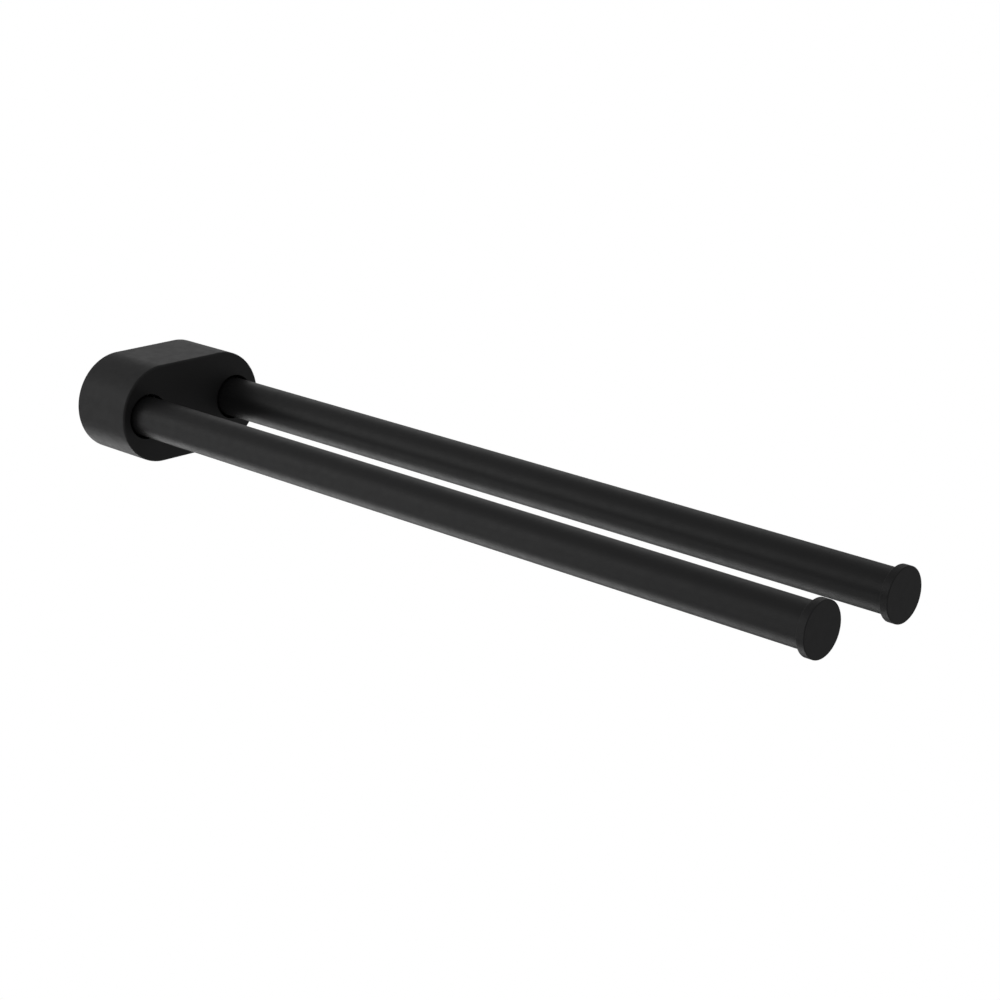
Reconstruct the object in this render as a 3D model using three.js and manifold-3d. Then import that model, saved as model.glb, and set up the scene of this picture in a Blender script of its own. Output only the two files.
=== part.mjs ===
// A fixed two-arm towel holder for a bathroom wall, in millimetres.
//
// The wall is the plane y = 0 and the holder stands out from it towards -Y, with +X to its right and +Z up.
// The origin is the middle of the wall face. A "reach" below is a distance out from the wall, so y = -reach,
// and a negative reach is inside the wall.
//
// The cover is a shell with round ends. Inside it a cast carrier holds both rods, and hangs on the two lugs
// of a bracket that is screwed to the wall. Two set screws from below lock the carrier on the lugs.

import * as THREE from 'three';
import { mergeVertices } from 'three/addons/utils/BufferGeometryUtils.js';
import Module from 'manifold-3d';

const wasm = await Module();
wasm.setup();

// Outer sizes
const PROJECTION = 450;
const COVER_WIDTH = 87.5;
const COVER_HEIGHT = 50;
const COVER_DEPTH = 37;
const COVER_EDGE = 1;
const ROD_RADIUS = 10;
const ROD_SPACING = 56;
const CAP_RADIUS = 12.3;
const CAP_THICKNESS = 4;
const CAP_EDGE = 0.4;

// Clearances: SLIP is left around a piece inside a hole, SEAT between faces that rest on each other
const SLIP = 0.3;
const SEAT = 0.1;

// Small chamfer on screw ends and tube ends, and the longer lead-in of plugs and spigots
const CHAMFER = 0.3;
const LEAD_IN = 1;

// Cover
const COVER_WALL = 2.6;
const COVER_FRONT = 3;
const OPENING_RADIUS = 11.3;
const BOSS_RADIUS = 4.2;
const BOSS_HOLE_DEPTH = 9;

// Rods
const TUBE_WALL = 1.5;
const CAP_SPIGOT_LENGTH = 14;
const ROOT_PLUG_LENGTH = 24;
const ROOT_THREAD_DEPTH = 19;

// Wall bracket
const PLATE_WIDTH = 76;
const PLATE_HEIGHT = 40;
const PLATE_THICKNESS = 3;
const LUG_X = 10;
const LUG_WIDTH = 8;
const LUG_TOP = 11;
const LUG_BOTTOM = -10;
const LUG_NOTCH = 1.6;
const HOOK_HEIGHT = 2.5;
const HOOK_LENGTH = 2.6;

// Carrier, as reaches of its two faces
const CARRIER_WIDTH = 81;
const CARRIER_HEIGHT = 43.6;
const CARRIER_BACK = 12;
const CARRIER_FACE = 22;
const COUNTERBORE_DEPTH = 4;
const COUNTERBORE_RADIUS = 7.2;
const WINDOW_BOTTOM = -15;
const WINDOW_CORNER = 0.3;

// Fasteners: shank radius, head radius and head height, lengths under the head
const ROD_BOLT = { shank: 4, head: 6.5, headHeight: 5, length: 25, socket: 2.9, socketDepth: 3 };
const LOCK_WASHER = { radius: 6.3, thickness: 2, split: 1.2 };
const COVER_SCREW = { shank: 2, head: 4, headHeight: 2.6, length: 18, z: 14 };
const WALL_SCREW = { shank: 2, head: 4.4, headHeight: 3, length: 30, z: 9 };
const WALL_WASHER = { radius: 5, hole: 2.3, thickness: 1 };
const SLOT = { radius: 2.5, travel: 4 };
const GRUB_SCREW = { shank: 2.5, length: 12, tip: 0.6, socket: 1.45, socketDepth: 2.5 };
const GRUB_ENTRY_RADIUS = 2.9;
const WALL_PLUG = { radius: 3, length: 25, depth: 2.4, ribs: 6, pitch: 2.6 };

// The profile of a pan head from its rim to its top, as shares of its radius and height
const PAN_DOME = [[1, 0], [1, 0.33], [0.84, 0.8], [0.5, 1], [0, 1]];
const RECESS = { width: 1.1, depth: 1.6 };

// Smoothness, in segments for a full turn
const FINE = 48;
const MEDIUM = 24;
const SMALL = 16;
const COARSE = 8;
const HEXAGON = 6;
const EDGE_STEPS = 3;

// How far a cutting tool runs past the faces that it cuts
const BEYOND = 1;

const blackCoat = { color: 0x1b1b1c, roughness: 0.55, metalness: 0.2 };
const zincCasting = { color: 0x9a9c9e, roughness: 0.5, metalness: 0.8 };
const platedSteel = { color: 0xb9bcc0, roughness: 0.3, metalness: 1.0 };
const darkSteel = { color: 0x3a3b3d, roughness: 0.4, metalness: 0.9 };
const nylon = { color: 0x8d9194, roughness: 0.7, metalness: 0.0 };

// ---- Solids ----

// The manifold solid of a closed three.js geometry: shared corners are merged and empty triangles dropped.
function solid(geometry) {
  const bare = geometry.clone();
  bare.deleteAttribute('normal');
  bare.deleteAttribute('uv');
  const merged = mergeVertices(bare, 1e-4);
  const corners = merged.index.array;
  const triVerts = [];
  for (let i = 0; i < corners.length; i += 3) {
    const [a, b, c] = corners.slice(i, i + 3);
    if (a !== b && b !== c && c !== a) {
      triVerts.push(a, b, c);
    }
  }
  const vertProperties = new Float32Array(merged.attributes.position.array);
  const mesh = new wasm.Mesh({ numProp: 3, vertProperties, triVerts: new Uint32Array(triVerts) });
  return new wasm.Manifold(mesh);
}

function geometryOf(manifold) {
  const { vertProperties, triVerts } = manifold.getMesh();
  const geometry = new THREE.BufferGeometry();
  geometry.setAttribute('position', new THREE.BufferAttribute(new Float32Array(vertProperties), 3));
  geometry.setIndex(new THREE.BufferAttribute(new Uint32Array(triVerts), 1));
  const facets = geometry.toNonIndexed();
  facets.computeVertexNormals();
  return facets;
}

function union(solids) {
  return solids.reduce((all, next) => all.add(next));
}

function cut(body, tools) {
  return tools.reduce((left, tool) => left.subtract(tool), body);
}

// ---- Shapes ----

// A solid turned about an axis that runs out from the wall, from [radius, reach] points in rising reach.
function turned(profile, segments) {
  const points = profile.map(([radius, reach]) => new THREE.Vector2(radius, reach));
  return solid(new THREE.LatheGeometry(points, segments).rotateZ(Math.PI));
}

// A solid turned about the Z axis, from [radius, z] points in rising z.
function upright(profile, segments) {
  const points = profile.map(([radius, z]) => new THREE.Vector2(radius, z));
  return solid(new THREE.LatheGeometry(points, segments).rotateX(Math.PI / 2));
}

// A plain cylinder along the axis that runs out from the wall.
function barrel(radius, from, to, segments) {
  return turned([[0, from], [radius, from], [radius, to], [0, to]], segments);
}

function at(body, x, z) {
  return body.translate([x, 0, z]);
}

// An outline in X and Z, pushed out from the wall between two reaches.
function plate(outline, from, to, segments = FINE) {
  const options = { depth: to - from, bevelEnabled: false, curveSegments: segments / 2 };
  return solid(new THREE.ExtrudeGeometry(outline, options).rotateX(Math.PI / 2)).translate([0, -from, 0]);
}

// A slot-shaped outline with half-circle ends, lying along X.
function stadium(width, height) {
  const radius = height / 2;
  const centre = width / 2 - radius;
  const outline = new THREE.Shape();
  outline.absarc(centre, 0, radius, -Math.PI / 2, Math.PI / 2, false);
  outline.absarc(-centre, 0, radius, Math.PI / 2, 3 * Math.PI / 2, false);
  outline.closePath();
  return outline;
}

function roundedRectangle(left, right, bottom, top, corner) {
  const outline = new THREE.Shape();
  outline.absarc(right - corner, bottom + corner, corner, -Math.PI / 2, 0, false);
  outline.absarc(right - corner, top - corner, corner, 0, Math.PI / 2, false);
  outline.absarc(left + corner, top - corner, corner, Math.PI / 2, Math.PI, false);
  outline.absarc(left + corner, bottom + corner, corner, Math.PI, 3 * Math.PI / 2, false);
  outline.closePath();
  return outline;
}

// A hexagonal socket of the given half width across its flats.
function hexSocket(halfFlats, from, to) {
  return barrel(halfFlats / Math.cos(Math.PI / HEXAGON), from, to, HEXAGON);
}

// The crossed slots in a pan head.
function crossRecess(radius, from, to) {
  const half = RECESS.width / 2;
  const slot = roundedRectangle(-radius, radius, -half, half, half / 2);
  const across = plate(slot, from, to, COARSE);
  return across.add(across.rotate([0, 90, 0]));
}

// ---- Cover ----

// The stadium block from the wall to the front, with its front edge rounded. The extrusion rounds its back
// edge too, so it starts behind the wall face and that part is cut away.
function coverBlock() {
  const block = new THREE.ExtrudeGeometry(stadium(COVER_WIDTH, COVER_HEIGHT), {
    depth: COVER_DEPTH - COVER_EDGE,
    bevelSize: COVER_EDGE,
    bevelThickness: COVER_EDGE,
    bevelOffset: -COVER_EDGE,
    bevelSegments: EDGE_STEPS,
    curveSegments: FINE / 2,
  });
  const behindWall = plate(stadium(COVER_WIDTH + BEYOND, COVER_HEIGHT + BEYOND), -COVER_EDGE - BEYOND, 0);
  return solid(block.rotateX(Math.PI / 2)).subtract(behindWall);
}

function cover() {
  const inside = COVER_DEPTH - COVER_FRONT;
  const cavity = stadium(COVER_WIDTH - 2 * COVER_WALL, COVER_HEIGHT - 2 * COVER_WALL);
  const bossStart = CARRIER_FACE + SEAT;
  const bossHoleEnd = bossStart + BOSS_HOLE_DEPTH;
  let body = coverBlock().subtract(plate(cavity, -BEYOND, inside));
  for (const side of [1, -1]) {
    const boss = barrel(BOSS_RADIUS, bossStart, inside + BEYOND, MEDIUM);
    const bossHole = barrel(COVER_SCREW.shank, bossStart - BEYOND, bossHoleEnd, SMALL);
    const opening = barrel(OPENING_RADIUS, inside - BEYOND, COVER_DEPTH + BEYOND, FINE);
    body = body.add(at(boss, 0, side * COVER_SCREW.z));
    body = cut(body, [
      at(bossHole, 0, side * COVER_SCREW.z),
      at(opening, side * ROD_SPACING / 2, 0),
      grubHole(side, GRUB_ENTRY_RADIUS, -COVER_HEIGHT / 2 - BEYOND),
    ]);
  }
  return body;
}

// ---- Carrier and set screws ----

const carrierMiddle = (CARRIER_BACK + CARRIER_FACE) / 2;
const counterboreFloor = CARRIER_BACK + COUNTERBORE_DEPTH;

// A hole for a set screw, along Z from the given height up into the carrier's window.
function grubHole(side, radius, bottom) {
  const top = WINDOW_BOTTOM + BEYOND;
  return upright([[0, bottom], [radius, bottom], [radius, top], [0, top]], SMALL)
    .translate([side * LUG_X, -carrierMiddle, 0]);
}

// The openings on one side of the carrier: the lug's window and the three screw holes.
function carrierOpenings(side) {
  const from = CARRIER_BACK - BEYOND;
  const to = CARRIER_FACE + BEYOND;
  const left = side * LUG_X - LUG_WIDTH / 2 - SLIP;
  const right = side * LUG_X + LUG_WIDTH / 2 + SLIP;
  const window = roundedRectangle(left, right, WINDOW_BOTTOM, LUG_TOP + SEAT, WINDOW_CORNER);
  const rodX = side * ROD_SPACING / 2;
  return [
    plate(window, from, to, COARSE),
    at(barrel(ROD_BOLT.shank + SLIP, from, to, MEDIUM), rodX, 0),
    at(barrel(COUNTERBORE_RADIUS, from, counterboreFloor, MEDIUM), rodX, 0),
    at(barrel(COVER_SCREW.shank + SLIP, from, to, SMALL), 0, side * COVER_SCREW.z),
    grubHole(side, GRUB_SCREW.shank, -CARRIER_HEIGHT / 2 - BEYOND),
  ];
}

function carrier() {
  const block = plate(stadium(CARRIER_WIDTH, CARRIER_HEIGHT), CARRIER_BACK, CARRIER_FACE);
  return cut(block, [...carrierOpenings(1), ...carrierOpenings(-1)]);
}

// A headless screw whose cone point sits in the lug's notch, with a hexagonal socket in its lower end.
function grubScrew(side) {
  const thread = GRUB_SCREW.shank - SLIP;
  const top = LUG_BOTTOM + LUG_NOTCH / 4;
  const bottom = top - GRUB_SCREW.length;
  const coneStart = top - (thread - GRUB_SCREW.tip);
  const body = upright([[0, bottom], [thread - CHAMFER, bottom], [thread, bottom + CHAMFER],
    [thread, coneStart], [GRUB_SCREW.tip, top], [0, top]], SMALL);
  const radius = GRUB_SCREW.socket / Math.cos(Math.PI / HEXAGON);
  const socketTop = bottom + GRUB_SCREW.socketDepth;
  const socket = upright([[0, bottom - BEYOND], [radius, bottom - BEYOND], [radius, socketTop],
    [0, socketTop]], HEXAGON);
  return body.subtract(socket).translate([side * LUG_X, -carrierMiddle, 0]);
}

// ---- Wall bracket and its fixings ----

// The side view of a lug: flat on top up to the hook, and notched below for the set screw.
function lug(side) {
  const hookStart = CARRIER_FACE + SLIP;
  const end = hookStart + HOOK_LENGTH;
  const outline = new THREE.Shape();
  outline.moveTo(PLATE_THICKNESS / 2, LUG_BOTTOM);
  outline.lineTo(carrierMiddle - LUG_NOTCH, LUG_BOTTOM);
  outline.lineTo(carrierMiddle, LUG_BOTTOM + LUG_NOTCH);
  outline.lineTo(carrierMiddle + LUG_NOTCH, LUG_BOTTOM);
  outline.lineTo(end, LUG_BOTTOM);
  outline.lineTo(end, LUG_TOP + HOOK_HEIGHT);
  outline.lineTo(hookStart, LUG_TOP + HOOK_HEIGHT);
  outline.lineTo(hookStart, LUG_TOP);
  outline.lineTo(PLATE_THICKNESS / 2, LUG_TOP);
  outline.closePath();
  const across = new THREE.ExtrudeGeometry(outline, { depth: LUG_WIDTH, bevelEnabled: false });
  const standing = solid(across.rotateX(Math.PI / 2).rotateZ(-Math.PI / 2));
  return standing.translate([side * LUG_X + LUG_WIDTH / 2, 0, 0]);
}

function wallBracket() {
  const base = plate(stadium(PLATE_WIDTH, PLATE_HEIGHT), 0, PLATE_THICKNESS);
  const long = SLOT.travel + 2 * SLOT.radius;
  const level = plate(stadium(long, 2 * SLOT.radius), -BEYOND, PLATE_THICKNESS + BEYOND, SMALL);
  const slots = [at(level.rotate([0, 90, 0]), 0, WALL_SCREW.z), at(level, 0, -WALL_SCREW.z)];
  return cut(union([base, lug(1), lug(-1)]), slots);
}

const washerReach = PLATE_THICKNESS + SEAT;

function wallWasher(side) {
  const start = washerReach;
  const end = start + WALL_WASHER.thickness;
  const disc = barrel(WALL_WASHER.radius, start, end, MEDIUM);
  const hole = barrel(WALL_WASHER.hole, start - BEYOND, end + BEYOND, MEDIUM);
  return at(disc.subtract(hole), 0, side * WALL_SCREW.z);
}

// A pan-head screw from the underside of its head: into the wall if "inwards", or out from it. A pointed
// screw tapers to its tip over three thread radii, and a blunt one has only a chamfer.
function panScrew({ shank, head, headHeight, length }, underHead, inwards, pointed) {
  const thread = shank - SLIP;
  const sense = inwards ? -1 : 1;
  const tip = pointed ? CHAMFER : thread - CHAMFER;
  const taper = pointed ? 3 * thread : CHAMFER;
  const shankSide = [[0, length], [tip, length], [thread, length - taper], [thread, 0]];
  const headSide = PAN_DOME.map(([across, up]) => [head * across, -headHeight * up]);
  const profile = [...shankSide, ...headSide].map(([radius, s]) => [radius, underHead + sense * s]);
  const body = turned(inwards ? profile : profile.reverse(), SMALL);
  const top = underHead - sense * headHeight;
  return body.subtract(crossRecess(head / 2, top - RECESS.depth, top + RECESS.depth));
}

function wallScrew(side) {
  const underHead = washerReach + WALL_WASHER.thickness + SEAT;
  return at(panScrew(WALL_SCREW, underHead, true, true), 0, side * WALL_SCREW.z);
}

// A nylon plug set a little below the wall face, as in a tiled wall, with ribs around it and two crossed
// slits that let it spread.
function wallPlug(side) {
  const { radius, length, depth, ribs, pitch } = WALL_PLUG;
  const bore = WALL_SCREW.shank;
  const end = -depth - length;
  const profile = [[bore, end], [radius - CHAMFER, end], [radius, end + LEAD_IN]];
  for (let rib = 1; rib <= ribs; rib += 1) {
    const valley = end + LEAD_IN + rib * pitch;
    profile.push([radius - CHAMFER, valley], [radius, valley + pitch / 2]);
  }
  profile.push([radius, -depth], [bore, -depth], [bore, end]);
  const slitOutline = roundedRectangle(-radius - BEYOND, radius + BEYOND, -SLIP, SLIP, SEAT);
  const slit = plate(slitOutline, end - BEYOND, end + length * 2 / 3, COARSE);
  const body = cut(turned(profile, SMALL), [slit, slit.rotate([0, 90, 0])]);
  return at(body, 0, side * WALL_SCREW.z);
}

// ---- Fasteners inside the cover ----

// A split ring under the rod bolt's head.
function lockWasher(side) {
  const end = counterboreFloor - SEAT;
  const start = end - LOCK_WASHER.thickness;
  const half = LOCK_WASHER.split / 2;
  const split = roundedRectangle(-half, half, 0, LOCK_WASHER.radius + BEYOND, SEAT);
  const ring = cut(barrel(LOCK_WASHER.radius, start, end, MEDIUM), [
    barrel(ROD_BOLT.shank + SLIP, start - BEYOND, end + BEYOND, MEDIUM),
    plate(split, start - BEYOND, end + BEYOND, COARSE),
  ]);
  return at(ring, side * ROD_SPACING / 2, 0);
}

// A low-head socket screw from the back of the carrier into the rod's root plug.
function rodBolt(side) {
  const { shank, head, headHeight, length, socket, socketDepth } = ROD_BOLT;
  const underHead = counterboreFloor - LOCK_WASHER.thickness - 2 * SEAT;
  const top = underHead - headHeight;
  const end = underHead + length;
  const thread = shank - SLIP;
  const body = turned([[0, top], [head - CHAMFER, top], [head, top + CHAMFER], [head, underHead],
    [thread, underHead], [thread, end - LEAD_IN], [thread - LEAD_IN, end], [0, end]], MEDIUM);
  return at(body.subtract(hexSocket(socket, top - BEYOND, top + socketDepth)), side * ROD_SPACING / 2, 0);
}

function coverScrew(side) {
  return at(panScrew(COVER_SCREW, CARRIER_BACK - SEAT, false, false), 0, side * COVER_SCREW.z);
}

// ---- Rods ----

const rootReach = CARRIER_FACE + SEAT;
const capReach = PROJECTION - CAP_THICKNESS;
const boreRadius = ROD_RADIUS - TUBE_WALL;

function rod(side) {
  const end = capReach - SEAT;
  const profile = [[boreRadius, rootReach], [ROD_RADIUS - CHAMFER, rootReach],
    [ROD_RADIUS, rootReach + CHAMFER], [ROD_RADIUS, end], [boreRadius, end], [boreRadius, rootReach]];
  return at(turned(profile, FINE), side * ROD_SPACING / 2, 0);
}

// The tapped plug that is fixed in the tube's wall end.
function rootPlug(side) {
  const radius = boreRadius - SEAT;
  const end = rootReach + ROOT_PLUG_LENGTH;
  const body = turned([[0, rootReach], [radius, rootReach], [radius, end - LEAD_IN], [radius - LEAD_IN, end],
    [0, end]], MEDIUM);
  const thread = barrel(ROD_BOLT.shank, rootReach - BEYOND, rootReach + ROOT_THREAD_DEPTH, MEDIUM);
  return at(body.subtract(thread), side * ROD_SPACING / 2, 0);
}

// The disc at the free end, with a spigot that is pressed into the tube.
function endCap(side) {
  const spigot = boreRadius - SEAT;
  const start = capReach - CAP_SPIGOT_LENGTH;
  const profile = [[0, start], [spigot - LEAD_IN, start], [spigot, start + LEAD_IN], [spigot, capReach],
    [CAP_RADIUS - CAP_EDGE, capReach], [CAP_RADIUS, capReach + CAP_EDGE],
    [CAP_RADIUS, PROJECTION - CAP_EDGE], [CAP_RADIUS - CAP_EDGE, PROJECTION], [0, PROJECTION]];
  return at(turned(profile, FINE), side * ROD_SPACING / 2, 0);
}

// ---- Assembly ----

const holder = new THREE.Group();

function addPart(name, manifold, finish) {
  const mesh = new THREE.Mesh(geometryOf(manifold), new THREE.MeshStandardMaterial(finish));
  mesh.name = name;
  holder.add(mesh);
}

addPart('cover', cover(), blackCoat);
addPart('carrier', carrier(), zincCasting);
addPart('wall_bracket', wallBracket(), platedSteel);

for (const [name, side] of [['left', -1], ['right', 1]]) {
  addPart(`rod_${name}`, rod(side), blackCoat);
  addPart(`end_cap_${name}`, endCap(side), blackCoat);
  addPart(`root_plug_${name}`, rootPlug(side), platedSteel);
  addPart(`rod_bolt_${name}`, rodBolt(side), platedSteel);
  addPart(`lock_washer_${name}`, lockWasher(side), platedSteel);
  addPart(`grub_screw_${name}`, grubScrew(side), darkSteel);
}

for (const [name, side] of [['upper', 1], ['lower', -1]]) {
  addPart(`cover_screw_${name}`, coverScrew(side), platedSteel);
  addPart(`wall_screw_${name}`, wallScrew(side), platedSteel);
  addPart(`wall_washer_${name}`, wallWasher(side), platedSteel);
  addPart(`wall_plug_${name}`, wallPlug(side), nylon);
}

export default holder;
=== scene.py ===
"""A fixed two-arm towel holder in matte black powder coat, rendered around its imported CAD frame.

The wall is the plane y = 0, the arms stand out along -Y, and +Z is up. A "reach" is a distance out from the
wall, so y = -reach. Everything is in metres, and MM turns a size in millimetres into metres.
"""
import math

import bmesh
import bpy
from mathutils import Matrix, Vector


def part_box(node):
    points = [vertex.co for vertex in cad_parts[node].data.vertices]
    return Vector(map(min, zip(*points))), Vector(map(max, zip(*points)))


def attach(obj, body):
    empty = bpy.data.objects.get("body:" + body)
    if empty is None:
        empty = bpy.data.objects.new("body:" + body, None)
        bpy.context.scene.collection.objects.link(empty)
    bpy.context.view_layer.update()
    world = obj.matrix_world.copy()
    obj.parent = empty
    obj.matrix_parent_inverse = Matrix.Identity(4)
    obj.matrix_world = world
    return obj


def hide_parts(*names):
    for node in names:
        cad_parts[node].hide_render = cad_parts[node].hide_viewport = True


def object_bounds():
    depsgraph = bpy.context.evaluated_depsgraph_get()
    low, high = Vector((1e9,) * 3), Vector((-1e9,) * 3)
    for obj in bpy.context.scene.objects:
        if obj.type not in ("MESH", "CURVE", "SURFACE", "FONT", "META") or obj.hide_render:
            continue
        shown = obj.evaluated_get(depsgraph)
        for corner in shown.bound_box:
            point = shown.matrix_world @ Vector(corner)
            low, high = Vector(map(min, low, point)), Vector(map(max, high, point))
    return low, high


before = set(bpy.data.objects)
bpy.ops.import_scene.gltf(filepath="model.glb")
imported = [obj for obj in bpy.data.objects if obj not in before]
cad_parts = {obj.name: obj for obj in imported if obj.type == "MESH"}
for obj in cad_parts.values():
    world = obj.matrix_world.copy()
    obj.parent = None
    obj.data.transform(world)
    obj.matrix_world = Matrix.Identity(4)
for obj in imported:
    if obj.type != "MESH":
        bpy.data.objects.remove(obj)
cad_low, cad_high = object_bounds()
cad_middle = (cad_low + cad_high) / 2

MM = 0.001
TINY = 1e-9

# Fine mesh: segments for a full turn of large, middle and small round shapes, and steps in a rounded edge
LARGE_TURN = 192
MIDDLE_TURN = 96
SMALL_TURN = 48
EDGE_STEPS = 5

# Rounded edges of the coated pieces
COVER_EDGE = 1.0 * MM
OPENING_EDGE = 0.35 * MM
CAP_EDGE = 0.45 * MM
TUBE_EDGE = 0.3 * MM
BORE_EDGE = 0.1 * MM
JOINT_EDGE = 0.12 * MM
SMALL_EDGE = 0.25 * MM
FINE_BEVEL = 0.2 * MM

# Clearance between pieces that touch, and how far a cutter runs past the surface it opens
PLAY = 0.1 * MM
OVERCUT = 1 * MM

# Sizes that the CAD boxes don't give, first of the cover, rods and caps
COVER_WALL = 2.6 * MM
COVER_FRONT = 3 * MM
CAVITY_EDGE = 1 * MM
OPENING_RADIUS = 11.3 * MM
BOSS_RADIUS = 4.2 * MM
BOSS_BORE = 2 * MM
GRUB_ENTRY_RADIUS = 2.9 * MM
GRUB_ENTRY_DEPTH = 6 * MM
TUBE_WALL = 1.5 * MM
CAP_FLANGE = 4 * MM
SPIGOT_LEAD = 1 * MM

# Carrier and root plugs
BOLT_BORE = 4.3 * MM
COUNTERBORE_RADIUS = 7.2 * MM
COUNTERBORE_DEPTH = 4 * MM
GRUB_BORE = 2.5 * MM
COVER_SCREW_BORE = 2.3 * MM
LUG_PLAY = 0.6 * MM
WINDOW_BOTTOM = -15 * MM
TAP_RADIUS = 4 * MM
TAP_DEPTH = 19 * MM

# Wall bracket
PLATE_HEIGHT = 40 * MM
PLATE_THICKNESS = 3 * MM
PLATE_BACK_EDGE = 0.15 * MM
PLATE_FRONT_EDGE = 0.4 * MM
LUG_WIDTH = 8 * MM
LUG_TOP = 11.1 * MM
LUG_BOTTOM = -10 * MM
HOOK_TOP = 13.5 * MM
HOOK_LENGTH = 2.6 * MM
NOTCH = 1.6 * MM
SLOT_LENGTH = 9 * MM
SLOT_WIDTH = 5 * MM

# Fasteners, with each thread as its depth and pitch, and each hexagon socket as its half width and depth
THREAD_TURN = 36
THREAD_STEPS = 6
WALL_THREAD = (0.55 * MM, 1.8 * MM)
COVER_THREAD = (0.4 * MM, 0.7 * MM)
BOLT_THREAD = (0.6 * MM, 1.25 * MM)
GRUB_THREAD = (0.4 * MM, 0.8 * MM)
HEAD_STEPS = 8
PAN_RIM = 0.35
PAN_FULLNESS = 0.7
SCREW_SHANK = 1.7 * MM
SCREW_POINT = 0.3 * MM
SCREW_CHAMFER = 0.4 * MM
WALL_HEAD = 3 * MM
WALL_SCREW_NECK = 2.5 * MM
COVER_HEAD = 2.6 * MM
COVER_SCREW_NECK = 0.5 * MM
BOLT_HEAD = 5 * MM
BOLT_SHANK = 3.7 * MM
BOLT_NECK = 1 * MM
BOLT_CHAMFER = 1 * MM
BOLT_SOCKET = (2.9 * MM, 3 * MM)
GRUB_POINT = 0.6 * MM
GRUB_CHAMFER = 0.3 * MM
GRUB_SOCKET = (1.45 * MM, 2.5 * MM)
RECESS_SHARE = 0.5
RECESS_WIDTH = 1.1 * MM
RECESS_DEPTH = 1.6 * MM
WASHER_EDGE = 0.15 * MM
WASHER_BORE = 2.3 * MM
LOCK_SPLIT = 1.2 * MM
LOCK_SLANT = 0.5

# Wall plugs
PLUG_BORE = 2 * MM
PLUG_RIBS = 6
RIB_PITCH = 2.6 * MM
RIB_DEPTH = 0.55 * MM
RIB_CREST = 0.1 * MM
PLUG_TIP = 0.5 * MM
PLUG_LEAD = 1 * MM
PLUG_NECK = 0.3 * MM
PLUG_COLLAR = 1.6 * MM
PLUG_EDGE = 0.2 * MM
PLUG_SLIT = 0.6 * MM
PLUG_SLIT_SHARE = 2 / 3

# The coat's two blacks, which it clouds between
BLACK = (0.0125, 0.0125, 0.013)
PALE_BLACK = (0.0155, 0.0155, 0.016)

# Camera, aimed at a point close to the holder's axis
VIEW_AZIMUTH = 47.0409
VIEW_ELEVATION = 17.7652
VIEW_ROLL = 1.148
VIEW_DISTANCE = 1.0356
AIM_REACH = 0.252681
AIM_HEIGHT = 0.000328
LENS = 83.0043

# Floor and lamps
FLOOR_HEIGHT = -1.5
FLOOR_SIZE = 12
FILL = 0.218
LAMP_DISTANCE = 2.4
LAMP_SIZE = 1.3
LAMPS = [  # azimuth and elevation in degrees, and power in watts
    (180, -50, 10.1), (180, -15, 0.14), (180, 20, 1.56), (135, 20, 2.3),
    (225, -15, 3.44), (225, 20, 4.82),
    (270, -15, 0.74), (315, -15, 0.48),
]

# Stands a shape turned about the reach axis upright, with its wall end up
UPRIGHT = Matrix.Rotation(math.pi / 2, 4, "X")

SIDES = ("left", "right")
LEVELS = ("upper", "lower")


# ---- Mesh tools ----

def link(name, mesh_data):
    piece = bpy.data.objects.new(name, mesh_data)
    bpy.context.scene.collection.objects.link(piece)
    return piece


def rounded(points, radii, steps=EDGE_STEPS):
    """The open polyline with its inner corners rounded. A radius of 0 keeps that point's corner sharp."""
    out = []
    for i, (point, radius) in enumerate(zip(points, radii)):
        here = Vector(point)
        if radius == 0 or i in (0, len(points) - 1):
            out.append(here)
            continue
        before = (Vector(points[i - 1]) - here).normalized()
        after = (Vector(points[i + 1]) - here).normalized()
        half = before.angle(after) / 2
        start = here + before * radius / math.tan(half)
        end = here + after * radius / math.tan(half)
        centre = here + (before + after).normalized() * radius / math.sin(half)
        sweep = math.pi - 2 * half
        for step in range(steps + 1):
            share = step / steps
            from_start = (start - centre) * math.sin((1 - share) * sweep)
            from_end = (end - centre) * math.sin(share * sweep)
            out.append(centre + (from_start + from_end) / math.sin(sweep))
    return [tuple(p) for p in out]


def turned(profile, segments):
    """A closed bmesh turned about the wall-to-room axis from (radius, reach) points. The profile runs from
    axis to axis, or closes on itself."""
    bm = bmesh.new()
    rings = []
    for radius, reach in profile:
        if radius < TINY:
            rings.append([bm.verts.new((0, -reach, 0))])
            continue
        angles = (2 * math.pi * i / segments for i in range(segments))
        rings.append([bm.verts.new((radius * math.cos(a), -reach, radius * math.sin(a))) for a in angles])
    pairs = list(zip(rings, rings[1:]))
    if profile[0][0] >= TINY:
        pairs.append((rings[-1], rings[0]))
    for a, b in pairs:
        for i in range(segments):
            j = (i + 1) % segments
            corners = [a[i % len(a)], a[j % len(a)], b[j % len(b)], b[i % len(b)]]
            bm.faces.new(list(dict.fromkeys(corners)))
    bmesh.ops.recalc_face_normals(bm, faces=bm.faces)
    return bm


def stadium(width, height, inset, turn):
    """Points of a round-ended outline, set in by inset, as (x, z)."""
    radius = height / 2 - inset
    centre = (width - height) / 2
    half = turn // 2
    points = []
    for sign, first in ((1, -math.pi / 2), (-1, math.pi / 2)):
        for i in range(half + 1):
            angle = first + math.pi * i / half
            points.append((sign * centre + radius * math.cos(angle), radius * math.sin(angle)))
    return points


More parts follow.
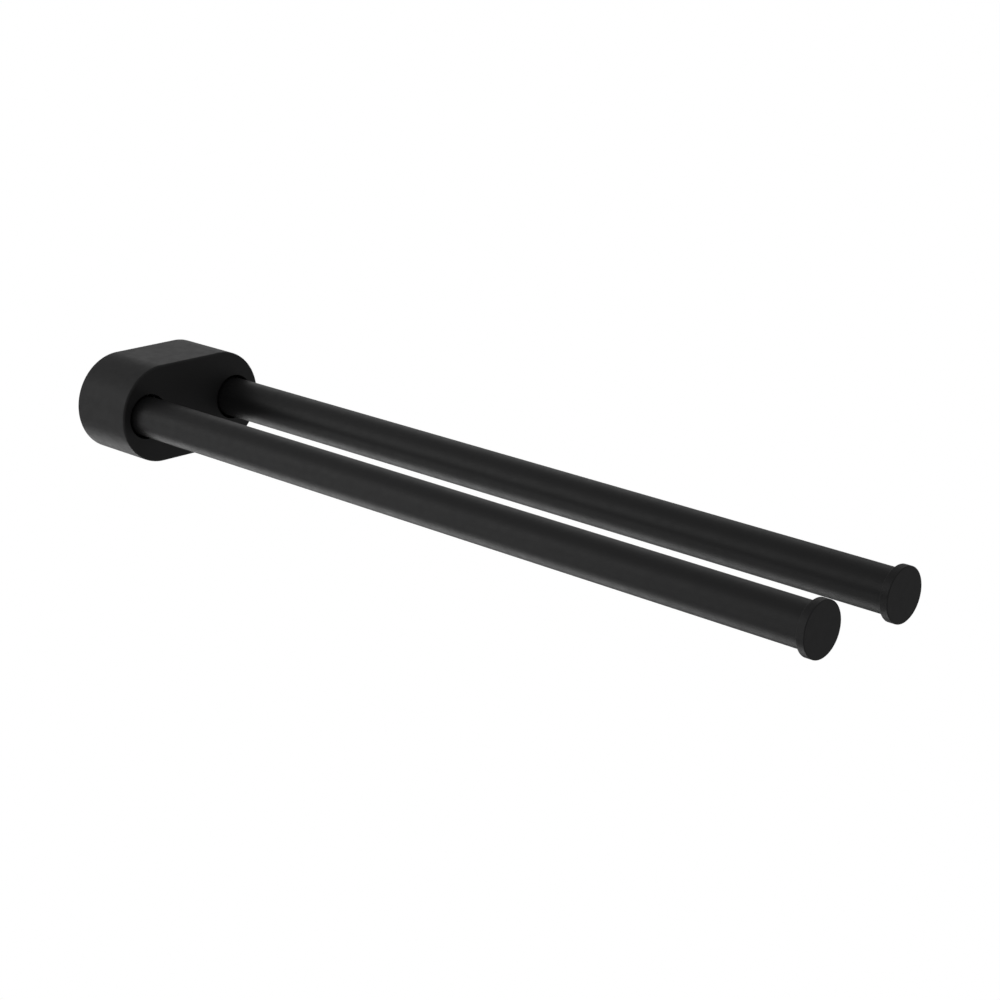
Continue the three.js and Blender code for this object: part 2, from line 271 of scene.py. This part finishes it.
def block(width, height, sections, turn=LARGE_TURN):
    """A closed bmesh of stacked stadium outlines: sections are (inset, reach) from the wall outwards."""
    bm = bmesh.new()
    rings = []
    for inset, reach in sections:
        rings.append([bm.verts.new((x, -reach, z)) for x, z in stadium(width, height, inset, turn)])
    count = len(rings[0])
    for a, b in zip(rings, rings[1:]):
        for i in range(count):
            j = (i + 1) % count
            bm.faces.new((a[i], a[j], b[j], b[i]))
    bm.faces.new(rings[0])
    bm.faces.new(rings[-1])
    bmesh.ops.recalc_face_normals(bm, faces=bm.faces)
    return bm


def edge_sections(start, end, start_edge, end_edge):
    """Sections of a block whose two rims are rounded, as (inset, reach)."""
    profile = rounded(
        [(start_edge * 2, start), (0, start), (0, end), (end_edge * 2, end)],
        [0, start_edge, end_edge, 0],
    )
    return profile[1:-1]


def drum(radius, start, end, segments=MIDDLE_TURN):
    return turned([(0, start), (radius, start), (radius, end), (0, end)], segments)


def flared(radius, start, mouth, edge, segments):
    """A cutter for a round hole that runs straight from start and flares just before its mouth."""
    arc = []
    for i in range(EDGE_STEPS + 1):
        a = math.pi / 2 * i / EDGE_STEPS
        arc.append((radius + edge * (1 - math.cos(a)), mouth - edge + edge * math.sin(a)))
    beyond = mouth + 2 * OVERCUT
    return turned([(0, start), (radius, start)] + arc + [(radius + edge, beyond), (0, beyond)], segments)


def moved(bm, offset=(0, 0, 0), turn=None):
    if turn is not None:
        bmesh.ops.transform(bm, matrix=turn, verts=bm.verts)
    bmesh.ops.translate(bm, vec=Vector(offset), verts=bm.verts)
    return bm


def solid(bm, name):
    """The bmesh as a new object of that name."""
    data = bpy.data.meshes.new(name)
    bm.to_mesh(data)
    bm.free()
    return link(name, data)


def carve(body, tools, operation="DIFFERENCE"):
    """Cuts each tool bmesh from the body, or joins it on, and leaves the result in the body's mesh."""
    for bm in tools:
        tool = solid(bm, "tool")
        boolean = body.modifiers.new("carve", "BOOLEAN")
        boolean.operation = operation
        boolean.solver = "EXACT"
        boolean.object = tool
        bake_modifiers(body)
        bpy.data.objects.remove(tool)
    return body


def bake_modifiers(piece):
    graph = bpy.context.evaluated_depsgraph_get()
    result = bpy.data.meshes.new_from_object(piece.evaluated_get(graph))
    piece.modifiers.clear()
    piece.data = result


def smooth(piece, angle=35, bevel=0.0):
    """Smooth shading with sharp edges kept, and a fine bevel on those edges where asked."""
    if bevel:
        edge = piece.modifiers.new("edge", "BEVEL")
        edge.width = bevel
        edge.segments = 2
        edge.limit_method = "ANGLE"
        edge.angle_limit = math.radians(angle)
        edge.use_clamp_overlap = True
        bake_modifiers(piece)
    piece.data.shade_smooth()
    piece.data.set_sharp_from_angle(angle=math.radians(angle))
    weighted = piece.modifiers.new("flat faces stay flat", "WEIGHTED_NORMAL")
    weighted.keep_sharp = True
    weighted.weight = 100
    return piece


def finish_piece(piece, material, slot, *nodes):
    piece.data.materials.clear()
    piece.data.materials.append(material)
    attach(piece, "root")
    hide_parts(*nodes)
    return piece


def spread(node):
    """A node's centre in X and Z, its first and last reach, and half its width, from the CAD box."""
    low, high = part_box(node)
    return (low.x + high.x) / 2, (low.z + high.z) / 2, -high.y, -low.y, (high.x - low.x) / 2


# ---- Cover ----

def cover_piece(material):
    low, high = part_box("cover")
    width, height, depth = high.x - low.x, high.z - low.z, high.y - low.y
    inside = depth - COVER_FRONT
    body = solid(block(width, height, edge_sections(0, depth, SMALL_EDGE, COVER_EDGE)), "cover_shell")
    cavity_profile = rounded(
        [(0, -2 * OVERCUT), (0, inside), (4 * CAVITY_EDGE, inside)], [0, CAVITY_EDGE, 0])
    cavity = block(width - 2 * COVER_WALL, height - 2 * COVER_WALL, cavity_profile[:-1])
    carve(body, [cavity])
    carrier_low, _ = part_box("carrier")
    boss_start = -carrier_low.y + PLAY
    for level in LEVELS:
        _, z, _, screw_end, _ = spread(f"cover_screw_{level}")
        boss = drum(BOSS_RADIUS, boss_start, inside + OVERCUT)
        carve(body, [moved(boss, (0, 0, z))], "UNION")
        bore = drum(BOSS_BORE, boss_start - OVERCUT, screw_end + OVERCUT, SMALL_TURN)
        carve(body, [moved(bore, (0, 0, z))])
    for side in SIDES:
        x = spread(f"rod_{side}")[0]
        opening = flared(OPENING_RADIUS, inside - 3 * OVERCUT, depth, OPENING_EDGE, LARGE_TURN)
        carve(body, [moved(opening, (x, 0, 0))])
        grub_x, _, grub_start, grub_end, _ = spread(f"grub_screw_{side}")
        entry_start = height / 2 - GRUB_ENTRY_DEPTH
        entry = flared(GRUB_ENTRY_RADIUS, entry_start, height / 2, OPENING_EDGE, SMALL_TURN)
        carve(body, [moved(entry, (grub_x, -(grub_start + grub_end) / 2, 0), UPRIGHT)])
    return finish_piece(smooth(body), material, "cover_coat", "cover")


# ---- Rods and end caps ----

def rod_piece(side, material):
    node = f"rod_{side}"
    x, z, start, end, radius = spread(node)
    bore = radius - TUBE_WALL
    middle = (start + end) / 2
    profile = rounded(
        [(bore, middle), (bore, start), (radius, start), (radius, end), (bore, end), (bore, middle)],
        [0, BORE_EDGE, TUBE_EDGE, JOINT_EDGE, BORE_EDGE, 0],
    )[:-1]
    tube = solid(moved(turned(profile, LARGE_TURN), (x, 0, z)), f"tube_{side}")
    return finish_piece(smooth(tube), material, "rod_coat", node)


def end_cap_piece(side, material):
    node = f"end_cap_{side}"
    x, z, start, end, radius = spread(node)
    spigot = spread(f"rod_{side}")[4] - TUBE_WALL - PLAY
    back = end - CAP_FLANGE
    profile = rounded(
        [(0, start), (spigot - SPIGOT_LEAD, start), (spigot, start + SPIGOT_LEAD),
         (spigot, back), (radius, back), (radius, end), (0, end)],
        [0, TUBE_EDGE, TUBE_EDGE, TUBE_EDGE / 2, TUBE_EDGE, CAP_EDGE, 0],
    )
    cap = solid(moved(turned(profile, LARGE_TURN), (x, 0, z)), f"cap_{side}")
    return finish_piece(smooth(cap), material, "rod_coat", node)


# ---- Fasteners ----

def threaded(profile, first, last, thread):
    """A turned bmesh whose wall between two reaches carries a right-hand thread, cut in from its radius."""
    depth, pitch = thread
    step = pitch / THREAD_STEPS
    dense = []
    for (r0, s0), (r1, s1) in zip(profile, profile[1:]):
        inside = first - TINY <= s0 < s1 <= last + TINY
        count = max(1, round((s1 - s0) / step)) if inside else 1
        dense += [(r0 + (r1 - r0) * i / count, s0 + (s1 - s0) * i / count) for i in range(count)]
    dense.append(profile[-1])
    bm = turned(dense, THREAD_TURN)
    for vert in bm.verts:
        reach = -vert.co.y
        radius = math.hypot(vert.co.x, vert.co.z)
        if radius < depth or not first < reach < last:
            continue
        angle = math.atan2(vert.co.z, vert.co.x)
        groove = abs(2 * ((reach / pitch - angle / math.tau) % 1) - 1)
        fade = min(1, (reach - first) / pitch, (last - reach) / pitch)
        shrink = 1 - depth * groove * fade / radius
        vert.co.x *= shrink
        vert.co.z *= shrink
    return bm


def pan_dome(radius, under, height, sense):
    """Points of a pan head from its rim to its top; sense is 1 where the top has the higher reach."""
    points = [(radius - SMALL_EDGE, under), (radius, under + sense * SMALL_EDGE)]
    rim = PAN_RIM * height
    for i in range(HEAD_STEPS + 1):
        a = math.pi / 2 * i / HEAD_STEPS
        rise = rim + (height - rim) * math.sin(a)
        points.append((radius * math.cos(a) ** PAN_FULLNESS, under + sense * rise))
    points[-1] = (0, under + sense * height)
    return points


def bar(width, depth, thickness, centre):
    """A plain bar that only cuts, lying along X, with depth in reach."""
    bm = bmesh.new()
    bmesh.ops.create_cube(bm, size=1)
    bmesh.ops.scale(bm, vec=(width, depth, thickness), verts=bm.verts)
    return moved(bm, centre)


def cross_cut(head_radius, reach):
    """The two crossed slots of a recess, centred on the given reach."""
    across = 2 * RECESS_SHARE * head_radius
    level = bar(across, 2 * RECESS_DEPTH, RECESS_WIDTH, (0, -reach, 0))
    upright = bar(RECESS_WIDTH, 2 * RECESS_DEPTH, across, (0, -reach, 0))
    return [level, upright]


def hexagon(half_flats, start, end):
    return drum(half_flats / math.cos(math.pi / 6), start, end, 6)


def place(body, name, node, material, slot, offset):
    """Moves a finished shape to its node, and files it."""
    body.name = name
    body.data.transform(Matrix.Translation(offset))
    return finish_piece(smooth(body), material, slot, node)


def wall_screw_piece(level, material):
    x, z, tip, top, radius = spread(f"wall_screw_{level}")
    under = top - WALL_HEAD
    first = tip + SCREW_POINT / 3
    last = under - WALL_SCREW_NECK
    profile = [(0, tip), (SCREW_POINT, first), (SCREW_SHANK, tip + 3 * SCREW_SHANK), (SCREW_SHANK, last),
               (SCREW_SHANK, under)]
    profile += pan_dome(radius, under, WALL_HEAD, 1)
    screw = solid(threaded(profile, first, last, WALL_THREAD), "screw")
    carve(screw, cross_cut(radius, top))
    name = f"wall_screw_{level}_threaded"
    return place(screw, name, f"wall_screw_{level}", material, "plated_steel", (x, 0, z))


def cover_screw_piece(level, material):
    x, z, top, tip, radius = spread(f"cover_screw_{level}")
    under = top + COVER_HEAD
    first = under + COVER_SCREW_NECK
    last = tip - SCREW_CHAMFER
    profile = pan_dome(radius, under, COVER_HEAD, -1)[::-1]
    profile += [(SCREW_SHANK, under), (SCREW_SHANK, first), (SCREW_SHANK, last),
                (SCREW_SHANK - SCREW_CHAMFER, tip), (0, tip)]
    screw = solid(threaded(profile, first, last, COVER_THREAD), "screw")
    carve(screw, cross_cut(radius, top))
    name = f"cover_screw_{level}_threaded"
    return place(screw, name, f"cover_screw_{level}", material, "plated_steel", (x, 0, z))


def rod_bolt_piece(side, material):
    x, z, top, tip, radius = spread(f"rod_bolt_{side}")
    under = top + BOLT_HEAD
    first = under + BOLT_NECK
    last = tip - BOLT_CHAMFER
    profile = rounded(
        [(0, top), (radius, top), (radius, under), (BOLT_SHANK, under)],
        [0, 2 * SMALL_EDGE, SMALL_EDGE, 0],
    )
    profile += [(BOLT_SHANK, first), (BOLT_SHANK, last), (BOLT_SHANK - 0.9 * BOLT_CHAMFER, tip), (0, tip)]
    bolt = solid(threaded(profile, first, last, BOLT_THREAD), "bolt")
    half_width, depth = BOLT_SOCKET
    carve(bolt, [hexagon(half_width, top - OVERCUT, top + depth)])
    name = f"rod_bolt_{side}_threaded"
    return place(bolt, name, f"rod_bolt_{side}", material, "plated_steel", (x, 0, z))


def grub_screw_piece(side, material):
    """Turned along the reach axis, then stood upright with its cone point up."""
    low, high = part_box(f"grub_screw_{side}")
    radius, length = (high.x - low.x) / 2, high.z - low.z
    first = radius - GRUB_POINT
    last = length - GRUB_CHAMFER
    profile = [(0, 0), (GRUB_POINT, 0), (radius, first), (radius, last),
               (radius - GRUB_CHAMFER, length), (0, length)]
    grub = solid(threaded(profile, first, last, GRUB_THREAD), "grub")
    half_width, depth = GRUB_SOCKET
    carve(grub, [hexagon(half_width, length - depth, length + OVERCUT)])
    grub.data.transform(UPRIGHT)
    top = ((low.x + high.x) / 2, (low.y + high.y) / 2, high.z)
    name = f"grub_screw_{side}_threaded"
    return place(grub, name, f"grub_screw_{side}", material, "dark_steel", top)


def ring_piece(name, node, bore, material, split=0.0):
    """A flat ring with rounded edges, and a slanted split at its top where asked."""
    x, z, start, end, radius = spread(node)
    middle = (start + end) / 2
    profile = rounded(
        [(bore, middle), (bore, start), (radius, start), (radius, end), (bore, end), (bore, middle)],
        [0, WASHER_EDGE, WASHER_EDGE, WASHER_EDGE, WASHER_EDGE, 0],
    )[:-1]
    ring = solid(turned(profile, MIDDLE_TURN), name)
    if split:
        slit = bar(split, 4 * (end - start), radius, (0, 0, (radius + bore) / 2))
        carve(ring, [moved(slit, (0, -middle, 0), Matrix.Rotation(LOCK_SLANT, 4, "Z"))])
    return place(ring, name, node, material, "plated_steel", (x, 0, z))


def wall_plug_piece(level, material):
    """A ribbed plug with a collar at the wall face, slit crosswise from its far end."""
    node = f"wall_plug_{level}"
    x, z, start, end, radius = spread(node)
    neck = radius - PLUG_NECK
    profile = [(PLUG_BORE, start), (radius - PLUG_TIP, start)]
    for rib in range(PLUG_RIBS):
        valley = start + PLUG_LEAD + rib * RIB_PITCH
        profile += [(radius - RIB_DEPTH, valley), (radius - RIB_CREST, valley + 0.75 * RIB_PITCH),
                    (radius, valley + 0.85 * RIB_PITCH), (radius, valley + 0.95 * RIB_PITCH)]
    ribs_end = start + PLUG_LEAD + PLUG_RIBS * RIB_PITCH
    profile += [(neck, ribs_end + PLUG_EDGE), (neck, end - PLUG_COLLAR - 2 * PLUG_EDGE),
                (radius, end - PLUG_COLLAR), (radius, end - PLUG_EDGE),
                (radius - PLUG_EDGE, end), (PLUG_BORE, end)]
    plug = solid(turned(profile, MIDDLE_TURN), "plug")
    slit = (end - start) * PLUG_SLIT_SHARE
    depth = slit + 2 * OVERCUT
    centre = (0, -(start + slit / 2 - OVERCUT), 0)
    across = 2 * (radius + OVERCUT)
    carve(plug, [bar(across, depth, PLUG_SLIT, centre), bar(PLUG_SLIT, depth, across, centre)])
    return place(plug, f"plug_{level}_ribbed", node, material, "nylon", (x, 0, z))


# ---- Carrier, root plugs and wall bracket ----

def carrier_piece(material):
    low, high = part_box("carrier")
    back, face = -high.y, -low.y
    edges = edge_sections(back, face, 2 * SMALL_EDGE, 2 * SMALL_EDGE)
    body = solid(block(high.x - low.x, high.z - low.z, edges, MIDDLE_TURN), "carrier_casting")
    centre = (back + face) / 2
    run = 2 * (face - back)
    window = LUG_TOP - WINDOW_BOTTOM
    holes = []
    for side in SIDES:
        lug_x = spread(f"grub_screw_{side}")[0]
        bolt_x = spread(f"rod_bolt_{side}")[0]
        window_centre = (lug_x, -centre, WINDOW_BOTTOM + window / 2)
        holes.append(bar(LUG_WIDTH + LUG_PLAY, run, window, window_centre))
        holes.append(moved(drum(BOLT_BORE, 0, face + OVERCUT), (bolt_x, 0, 0)))
        holes.append(moved(drum(COUNTERBORE_RADIUS, 0, back + COUNTERBORE_DEPTH), (bolt_x, 0, 0)))
        entry = drum(GRUB_BORE, -WINDOW_BOTTOM - OVERCUT, high.z + OVERCUT, SMALL_TURN)
        holes.append(moved(entry, (lug_x, -centre, 0), UPRIGHT))
    for level in LEVELS:
        z = spread(f"cover_screw_{level}")[1]
        holes.append(moved(drum(COVER_SCREW_BORE, 0, face + OVERCUT, SMALL_TURN), (0, 0, z)))
    carve(body, holes)
    return finish_piece(smooth(body, bevel=FINE_BEVEL), material, "zinc_casting", "carrier")


def root_plug_piece(side, material):
    """A solid plug with a blind hole for the rod bolt, open towards the wall."""
    node = f"root_plug_{side}"
    x, z, start, end, radius = spread(node)
    floor = start + TAP_DEPTH
    profile = rounded(
        [(0, floor), (TAP_RADIUS, floor), (TAP_RADIUS, start), (radius, start), (radius, end), (0, end)],
        [0, 0, 2 * SMALL_EDGE, TUBE_EDGE, SPIGOT_LEAD, 0],
    )
    plug = solid(turned(profile, MIDDLE_TURN), "plug")
    return place(plug, f"root_plug_{side}_tapped", node, material, "plated_steel", (x, 0, z))


def lug_bm(x, end, notch_reach):
    """A forward lug as a side profile pushed across X: flat on top up to the hook, and notched below."""
    root = PLATE_THICKNESS / 2
    hook = end - HOOK_LENGTH
    top = LUG_TOP - PLAY
    side_view = [(root, LUG_BOTTOM), (notch_reach - NOTCH, LUG_BOTTOM),
                 (notch_reach, LUG_BOTTOM + NOTCH), (notch_reach + NOTCH, LUG_BOTTOM), (end, LUG_BOTTOM),
                 (end, HOOK_TOP), (hook, HOOK_TOP), (hook, top), (root, top)]
    bm = bmesh.new()
    rings = [[bm.verts.new((x + across, -reach, z)) for reach, z in side_view]
             for across in (-LUG_WIDTH / 2, LUG_WIDTH / 2)]
    count = len(side_view)
    for i in range(count):
        j = (i + 1) % count
        bm.faces.new((rings[0][i], rings[0][j], rings[1][j], rings[1][i]))
    bm.faces.new(rings[0])
    bm.faces.new(rings[1])
    bmesh.ops.recalc_face_normals(bm, faces=bm.faces)
    return bm


def bracket_piece(material):
    low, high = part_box("wall_bracket")
    end = -low.y
    edges = edge_sections(0, PLATE_THICKNESS, PLATE_BACK_EDGE, PLATE_FRONT_EDGE)
    body = solid(block(high.x - low.x, PLATE_HEIGHT, edges, MIDDLE_TURN), "bracket_pressed")
    for side in SIDES:
        grub_x, _, grub_start, grub_end, _ = spread(f"grub_screw_{side}")
        carve(body, [lug_bm(grub_x, end, (grub_start + grub_end) / 2)], "UNION")
    for level, upright in (("upper", True), ("lower", False)):
        z = spread(f"wall_screw_{level}")[1]
        through = [(0, -OVERCUT), (0, PLATE_THICKNESS + OVERCUT)]
        slot = block(SLOT_LENGTH, SLOT_WIDTH, through, SMALL_TURN)
        turn = Matrix.Rotation(math.pi / 2, 4, "Y") if upright else None
        carve(body, [moved(slot, (0, 0, z), turn)])
    return finish_piece(smooth(body, bevel=FINE_BEVEL), material, "plated_steel", "wall_bracket")


# ---- Materials ----

class Shader:
    """A small helper round one material's node tree."""

    def __init__(self, name):
        self.material = bpy.data.materials.new(name)
        self.material.use_nodes = True
        self.nodes = self.material.node_tree.nodes
        self.links = self.material.node_tree.links
        self.surface = self.nodes["Principled BSDF"]
        self.place = self.nodes.new("ShaderNodeTexCoord").outputs["Object"]

    def noise(self, scale, detail=2.0, roughness=0.5):
        texture = self.nodes.new("ShaderNodeTexNoise")
        texture.inputs["Scale"].default_value = scale
        texture.inputs["Detail"].default_value = detail
        texture.inputs["Roughness"].default_value = roughness
        self.links.new(self.place, texture.inputs["Vector"])
        return texture.outputs["Fac"]

    def remap(self, value, low, high, from_low=0.3, from_high=0.7):
        node = self.nodes.new("ShaderNodeMapRange")
        node.inputs["From Min"].default_value = from_low
        node.inputs["From Max"].default_value = from_high
        node.inputs["To Min"].default_value = low
        node.inputs["To Max"].default_value = high
        self.links.new(value, node.inputs["Value"])
        return node.outputs["Result"]

    def blend(self, share, first, second):
        """Mixes two colours, or a colour socket and a colour, by a share from 0 to 1."""
        node = self.nodes.new("ShaderNodeMix")
        node.data_type = "RGBA"
        self.links.new(share, node.inputs["Factor"])
        for socket, colour in ((node.inputs[6], first), (node.inputs[7], second)):
            if isinstance(colour, bpy.types.NodeSocket):
                self.links.new(colour, socket)
            else:
                socket.default_value = (*colour, 1)
        return node.outputs[2]

    def worn_edges(self, low, high):
        """A share that rises from 0 to 1 on outward edges."""
        pointiness = self.nodes.new("ShaderNodeNewGeometry").outputs["Pointiness"]
        return self.remap(pointiness, 0, 1, low, high)

    def bumps(self, *layers):
        """Stacks bump layers of (height socket, strength, distance) on the surface's normal."""
        normal = None
        for height, strength, distance in layers:
            node = self.nodes.new("ShaderNodeBump")
            node.inputs["Strength"].default_value = strength
            node.inputs["Distance"].default_value = distance
            self.links.new(height, node.inputs["Height"])
            if normal is not None:
                self.links.new(normal, node.inputs["Normal"])
            normal = node.outputs["Normal"]
        self.links.new(normal, self.surface.inputs["Normal"])

    def finish(self, colour, roughness, metallic=0.0, ior=1.5):
        self.links.new(colour, self.surface.inputs["Base Color"])
        self.links.new(roughness, self.surface.inputs["Roughness"])
        self.surface.inputs["Metallic"].default_value = metallic
        self.surface.inputs["IOR"].default_value = ior
        return self.material


def powder_coat(name, dark, light, roughness):
    """Matte black powder coat: fine orange peel, sparse pale specks, and slightly paler edges."""
    shader = Shader(name)
    cloud = shader.remap(shader.noise(45, 3), 0, 1)
    speck = shader.remap(shader.noise(5200, 1), 0, 1, 0.62, 0.8)
    colour = shader.blend(cloud, dark, light)
    colour = shader.blend(speck, colour, tuple(2.2 * c for c in light))
    colour = shader.blend(shader.worn_edges(0.53, 0.66), colour, tuple(1.4 * c for c in light))
    low, high = roughness
    shader.bumps(
        (shader.noise(900, 2), 0.10, 0.03 * MM),
        (shader.noise(3200, 3, 0.6), 0.16, 0.02 * MM),
    )
    return shader.finish(colour, shader.remap(shader.noise(260, 3), low, high))


def plated(name, base, tint, roughness, grain):
    """Plated or oxidised steel: clouded tint, fine polishing grain, and edges rubbed a little brighter."""
    shader = Shader(name)
    colour = shader.blend(shader.remap(shader.noise(160, 3), 0, 1), base, tint)
    bright = tuple(min(1.0, 1.3 * c) for c in base)
    colour = shader.blend(shader.worn_edges(0.54, 0.68), colour, bright)
    shader.bumps(
        (shader.noise(700, 3), 0.08, 0.03 * MM),
        (shader.noise(4200, 2), grain, 0.01 * MM),
    )
    low, high = roughness
    return shader.finish(colour, shader.remap(shader.noise(420, 4), low, high), metallic=1.0)


def casting(name, base, tint):
    """Die-cast zinc: dull cloudy skin with flow marks and a fine pebbled grain."""
    shader = Shader(name)
    colour = shader.blend(shader.remap(shader.noise(90, 5, 0.6), 0, 1), base, tint)
    pits = shader.remap(shader.noise(2600, 1), 0, 1, 0.6, 0.75)
    colour = shader.blend(pits, colour, tuple(0.6 * c for c in base))
    shader.bumps(
        (shader.noise(300, 4), 0.2, 0.06 * MM),
        (shader.noise(2400, 3), 0.3, 0.03 * MM),
    )
    return shader.finish(colour, shader.remap(shader.noise(240, 3), 0.42, 0.6), metallic=0.9)


def moulded(name, base, tint):
    """Moulded nylon: slightly uneven colour, a soft gloss and a fine spark-eroded grain."""
    shader = Shader(name)
    colour = shader.blend(shader.remap(shader.noise(200, 3), 0, 1), base, tint)
    shader.bumps((shader.noise(3000, 3), 0.25, 0.02 * MM))
    shader.surface.inputs["Subsurface Weight"].default_value = 0.08
    shader.surface.inputs["Subsurface Scale"].default_value = 0.5 * MM
    return shader.finish(colour, shader.remap(shader.noise(500, 2), 0.5, 0.66), ior=1.53)


cover_coat = powder_coat("cover_powder_coat", BLACK, PALE_BLACK, (0.47, 0.53))
rod_coat = powder_coat("rod_powder_coat", BLACK, PALE_BLACK, (0.45, 0.51))
zinc_plate = plated("bright_zinc_plate", (0.60, 0.61, 0.63), (0.66, 0.66, 0.65), (0.24, 0.38), 0.12)
black_oxide = plated("black_oxide", (0.055, 0.055, 0.06), (0.085, 0.083, 0.085), (0.34, 0.48), 0.15)
zinc_casting = casting("zinc_casting", (0.40, 0.41, 0.42), (0.47, 0.47, 0.475))
nylon = moulded("grey_nylon", (0.42, 0.43, 0.44), (0.48, 0.49, 0.50))

cover_piece(cover_coat)
carrier_piece(zinc_casting)
bracket_piece(zinc_plate)
for side in SIDES:
    rod_piece(side, rod_coat)
    end_cap_piece(side, rod_coat)
    root_plug_piece(side, zinc_plate)
    rod_bolt_piece(side, zinc_plate)
    ring_piece(f"lock_ring_{side}", f"lock_washer_{side}", BOLT_BORE, zinc_plate, LOCK_SPLIT)
    grub_screw_piece(side, black_oxide)
for level in LEVELS:
    cover_screw_piece(level, zinc_plate)
    wall_screw_piece(level, zinc_plate)
    ring_piece(f"flat_ring_{level}", f"wall_washer_{level}", WASHER_BORE, zinc_plate)
    wall_plug_piece(level, nylon)

# ---- Studio ----

def floor_piece():
    """A plain floor, as far below the holder as in a bathroom. It glows evenly white, so it shows no
    shadow, and it leaves the light on the object to the lamps."""
    bm = bmesh.new()
    bmesh.ops.create_grid(bm, x_segments=8, y_segments=8, size=FLOOR_SIZE)
    floor = solid(moved(bm, (0, 0, FLOOR_HEIGHT)), "floor")
    material = bpy.data.materials.new("pale_floor")
    material.use_nodes = True
    tree = material.node_tree
    tree.nodes.clear()
    glow = tree.nodes.new("ShaderNodeEmission")
    output = tree.nodes.new("ShaderNodeOutputMaterial")
    tree.links.new(glow.outputs["Emission"], output.inputs["Surface"])
    floor.data.materials.append(material)
    floor.visible_diffuse = False
    floor.visible_glossy = False


def studio_world():
    """White to the camera, and a dim even fill to the object."""
    world = bpy.data.worlds.new("studio")
    bpy.context.scene.world = world
    world.use_nodes = True
    tree = world.node_tree
    backdrop = tree.nodes.new("ShaderNodeBackground")
    fill = tree.nodes["Background"]
    fill.inputs["Color"].default_value = (1, 1, 1, 1)
    fill.inputs["Strength"].default_value = FILL
    ray = tree.nodes.new("ShaderNodeLightPath").outputs["Is Camera Ray"]
    mix = tree.nodes.new("ShaderNodeMixShader")
    tree.links.new(ray, mix.inputs[0])
    tree.links.new(fill.outputs[0], mix.inputs[1])
    tree.links.new(backdrop.outputs[0], mix.inputs[2])
    backdrop.inputs["Color"].default_value = (1, 1, 1, 1)
    tree.links.new(mix.outputs[0], tree.nodes["World Output"].inputs["Surface"])


def softbox(name, azimuth, elevation, power):
    """A square lamp that faces the holder. Azimuth 0 is in front of it, on -Y, and 90 is on its right."""
    lamp = bpy.data.lights.new(name, "AREA")
    lamp.size = LAMP_SIZE
    lamp.energy = power
    box = bpy.data.objects.new(name, lamp)
    bpy.context.scene.collection.objects.link(box)
    a, e = math.radians(azimuth), math.radians(elevation)
    out = Vector((math.sin(a) * math.cos(e), -math.cos(a) * math.cos(e), math.sin(e)))
    box.location = cad_middle + out * LAMP_DISTANCE
    box.rotation_euler = out.to_track_quat("Z", "Y").to_euler()
    box.visible_camera = False


def camera():
    """The view from the holder's left front, a little above it, aimed close to its axis."""
    data = bpy.data.cameras.new("camera")
    data.sensor_width = 36
    data.lens = LENS
    data.clip_start = 0.05
    data.clip_end = 60
    eye = bpy.data.objects.new("camera", data)
    bpy.context.scene.collection.objects.link(eye)
    a, e = math.radians(VIEW_AZIMUTH), math.radians(VIEW_ELEVATION)
    back = Vector((-math.sin(a) * math.cos(e), -math.cos(a) * math.cos(e), math.sin(e)))
    aim = Vector((0, -AIM_REACH, AIM_HEIGHT))
    eye.location = aim + back * VIEW_DISTANCE
    tilt = back.to_track_quat("Z", "Y").to_matrix() @ Matrix.Rotation(math.radians(VIEW_ROLL), 3, "Z")
    eye.rotation_euler = tilt.to_euler()
    bpy.context.scene.camera = eye


floor_piece()
studio_world()
camera()
for number, (azimuth, elevation, power) in enumerate(LAMPS):
    softbox(f"softbox_{number}", azimuth, elevation, power)
bpy.context.scene.view_settings.view_transform = "Standard"
